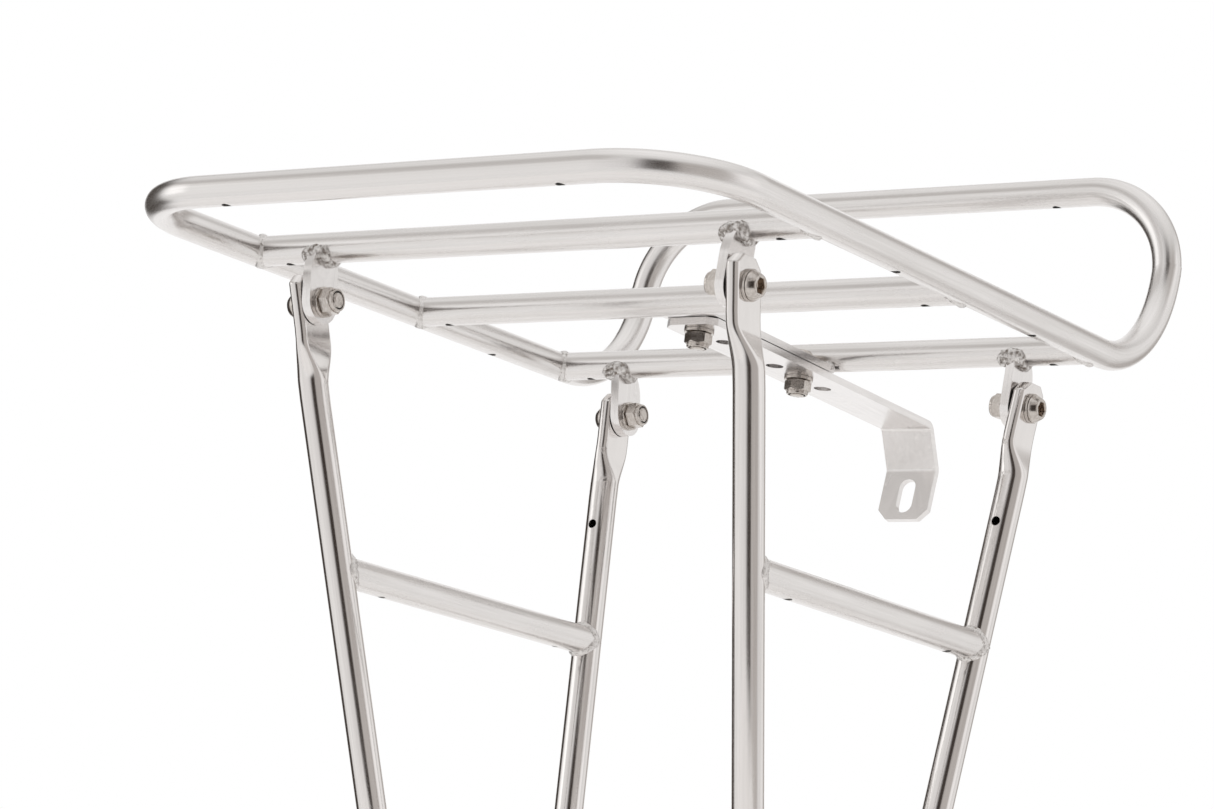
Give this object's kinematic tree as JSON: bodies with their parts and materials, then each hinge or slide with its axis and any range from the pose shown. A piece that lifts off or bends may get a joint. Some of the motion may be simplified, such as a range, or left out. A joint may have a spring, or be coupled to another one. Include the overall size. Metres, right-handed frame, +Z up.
{
  "type": "rear rack",
  "caption": "Bicycle luggage rack of bent steel tube: flat railed platform, upright hoop, bolted leg frames with dropout eyelets and a drilled strap that reaches to the frame.",
  "frame": {"origin": "midway between the two foot eyelets, at their height", "axes": "+Z up, +Y forward on the bicycle, +X to the rider's right"},
  "size_m": [0.224, 0.3246, 0.4334],
  "materials": {
    "tube_steel": "satin-polished drawn tube, polished lengthwise",
    "plate_steel": "satin-polished flat plate",
    "fastener_steel": "bright machined stainless",
    "nylon": "plain moulded locking insert"
  },
  "bodies": {
    "rack": {"loop_tube": "tube_steel", "cross_rail_rear": "tube_steel", "cross_rail_middle": "tube_steel", "cross_rail_front": "tube_steel", "tab_rear_left": "plate_steel", "leg_rear_left": "tube_steel", "tab_rear_right": "plate_steel", "leg_rear_right": "tube_steel", "tab_front_left": "plate_steel", "leg_front_left": "tube_steel", "tab_front_right": "plate_steel", "leg_front_right": "tube_steel", "link_tube_left": "tube_steel", "foot_plate_left": "plate_steel", "link_tube_right": "tube_steel", "foot_plate_right": "plate_steel", "tongue_bar": "plate_steel", "strap_bracket": "plate_steel", "bolt_rear_left": "fastener_steel", "head_washer_rear_left": "fastener_steel", "bolt_front_left": "fastener_steel", "head_washer_front_left": "fastener_steel", "bolt_rear_right": "fastener_steel", "head_washer_rear_right": "fastener_steel", "bolt_front_right": "fastener_steel", "head_washer_front_right": "fastener_steel", "bolt_strap_rear": "fastener_steel", "head_washer_strap_rear": "fastener_steel", "bolt_strap_front": "fastener_steel", "head_washer_strap_front": "fastener_steel"},
    "washer_rear_left": {"nut_washer_rear_left": "fastener_steel"},
    "nut_rear_left": {"lock_nut_rear_left": "fastener_steel", "lock_ring_rear_left": "nylon"},
    "washer_front_left": {"nut_washer_front_left": "fastener_steel"},
    "nut_front_left": {"lock_nut_front_left": "fastener_steel", "lock_ring_front_left": "nylon"},
    "washer_rear_right": {"nut_washer_rear_right": "fastener_steel"},
    "nut_rear_right": {"lock_nut_rear_right": "fastener_steel", "lock_ring_rear_right": "nylon"},
    "washer_front_right": {"nut_washer_front_right": "fastener_steel"},
    "nut_front_right": {"lock_nut_front_right": "fastener_steel", "lock_ring_front_right": "nylon"},
    "washer_strap_rear": {"nut_washer_strap_rear": "fastener_steel"},
    "nut_strap_rear": {"lock_nut_strap_rear": "fastener_steel", "lock_ring_strap_rear": "nylon"},
    "washer_strap_front": {"nut_washer_strap_front": "fastener_steel"},
    "nut_strap_front": {"lock_nut_strap_front": "fastener_steel", "lock_ring_strap_front": "nylon"}
  },
  "joints": [
    {"name": "nut_travel_rear_left", "type": "slide", "parent": "rack", "child": "washer_rear_left", "axis": [0.9965, 0, 0.0839], "range_m": [0, 0.005]},
    {"name": "nut_turn_rear_left", "type": "hinge", "parent": "washer_rear_left", "child": "nut_rear_left", "pos_m": [-0.07283, -0.1171, 0.33189], "axis": [0.9965, 0, 0.0839], "range_deg": [0, 2251]},
    {"name": "nut_travel_front_left", "type": "slide", "parent": "rack", "child": "washer_front_left", "axis": [0.9965, 0, 0.0839], "range_m": [0, 0.005]},
    {"name": "nut_turn_front_left", "type": "hinge", "parent": "washer_front_left", "child": "nut_front_left", "pos_m": [-0.07283, 0.0611, 0.33189], "axis": [0.9965, 0, 0.0839], "range_deg": [0, 2251]},
    {"name": "nut_travel_rear_right", "type": "slide", "parent": "rack", "child": "washer_rear_right", "axis": [-0.9965, 0, 0.0839], "range_m": [0, 0.005]},
    {"name": "nut_turn_rear_right", "type": "hinge", "parent": "washer_rear_right", "child": "nut_rear_right", "pos_m": [0.07283, -0.1171, 0.33189], "axis": [-0.9965, 0, 0.0839], "range_deg": [0, 2251]},
    {"name": "nut_travel_front_right", "type": "slide", "parent": "rack", "child": "washer_front_right", "axis": [-0.9965, 0, 0.0839], "range_m": [0, 0.005]},
    {"name": "nut_turn_front_right", "type": "hinge", "parent": "washer_front_right", "child": "nut_front_right", "pos_m": [0.07283, 0.0611, 0.33189], "axis": [-0.9965, 0, 0.0839], "range_deg": [0, 2251]},
    {"name": "nut_travel_strap_rear", "type": "slide", "parent": "rack", "child": "washer_strap_rear", "axis": [0, -0.033, -0.9995], "range_m": [0, 0.005]},
    {"name": "nut_turn_strap_rear", "type": "hinge", "parent": "washer_strap_rear", "child": "nut_strap_rear", "pos_m": [0, -0.0145, 0.34325], "axis": [0, -0.033, -0.9995], "range_deg": [0, 2251]},
    {"name": "nut_travel_strap_front", "type": "slide", "parent": "rack", "child": "washer_strap_front", "axis": [0, -0.033, -0.9995], "range_m": [0, 0.005]},
    {"name": "nut_turn_strap_front", "type": "hinge", "parent": "washer_strap_front", "child": "nut_strap_front", "pos_m": [0, 0.04947, 0.34114], "axis": [0, -0.033, -0.9995], "range_deg": [0, 2251]}
  ],
  "couplings": [
    {"joint": "nut_turn_rear_left", "follows": "nut_travel_rear_left", "rad_per_m": 7854},
    {"joint": "nut_turn_front_left", "follows": "nut_travel_front_left", "rad_per_m": 7854},
    {"joint": "nut_turn_rear_right", "follows": "nut_travel_rear_right", "rad_per_m": 7854},
    {"joint": "nut_turn_front_right", "follows": "nut_travel_front_right", "rad_per_m": 7854},
    {"joint": "nut_turn_strap_rear", "follows": "nut_travel_strap_rear", "rad_per_m": 7854},
    {"joint": "nut_turn_strap_front", "follows": "nut_travel_strap_front", "rad_per_m": 7854}
  ]
}
